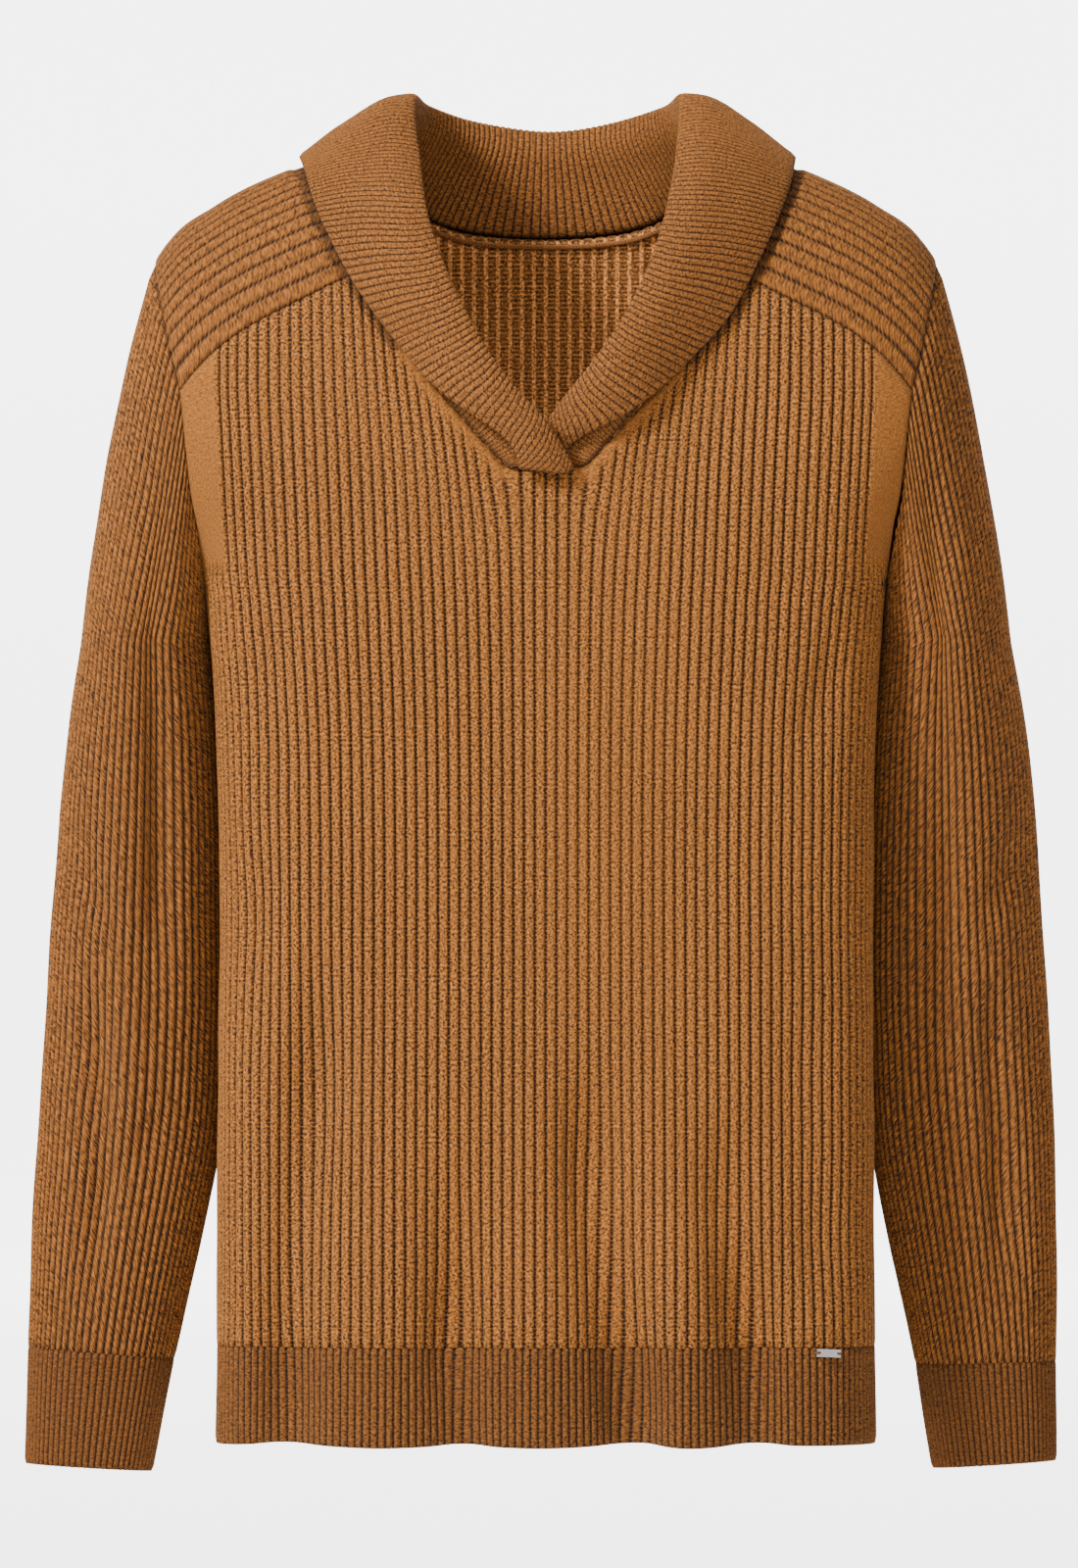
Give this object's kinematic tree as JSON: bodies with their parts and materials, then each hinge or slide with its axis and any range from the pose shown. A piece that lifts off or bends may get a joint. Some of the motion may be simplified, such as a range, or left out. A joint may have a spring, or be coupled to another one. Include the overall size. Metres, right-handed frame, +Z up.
{
  "type": "shawl collar pullover",
  "caption": "Camel rib-knit pullover with long sleeves and a folded shawl collar over a deep V neck, filled out as if worn and hollow inside.",
  "frame": {"origin": "midway between the two points where the shoulders meet the neck, where a wearer's shoulders carry the garment", "axes": "+Z up from hem to neck; -Y is the way the front faces; +X to the viewer's right, seen from the front"},
  "size_m": [0.5286, 0.1925, 0.7052],
  "materials": {
    "front_panel": "broad rib knit, soft matt wool",
    "back_panel": "broad rib knit, soft matt wool",
    "yoke_left": "broad rib knit, soft matt wool",
    "yoke_right": "broad rib knit, soft matt wool",
    "sleeve_left": "rib knit, soft matt wool",
    "sleeve_right": "rib knit, soft matt wool",
    "cuff_left": "fine rib knit, soft matt wool",
    "cuff_right": "fine rib knit, soft matt wool",
    "hem_band_front": "fine rib knit, soft matt wool",
    "hem_band_back": "fine rib knit, soft matt wool",
    "shawl_collar": "fine rib knit, soft matt wool",
    "neck_chain": "linked stitches, soft matt wool",
    "hem_plate": "plain satin metal"
  },
  "bodies": {
    "root": {"front_panel": "front_panel", "back_panel": "back_panel", "yoke_left": "yoke_left", "yoke_right": "yoke_right", "sleeve_left": "sleeve_left", "sleeve_right": "sleeve_right", "cuff_left": "cuff_left", "cuff_right": "cuff_right", "hem_band_front": "hem_band_front", "hem_band_back": "hem_band_back", "shawl_collar": "shawl_collar", "neck_chain": "neck_chain", "hem_plate": "hem_plate"}
  },
  "joints": []
}
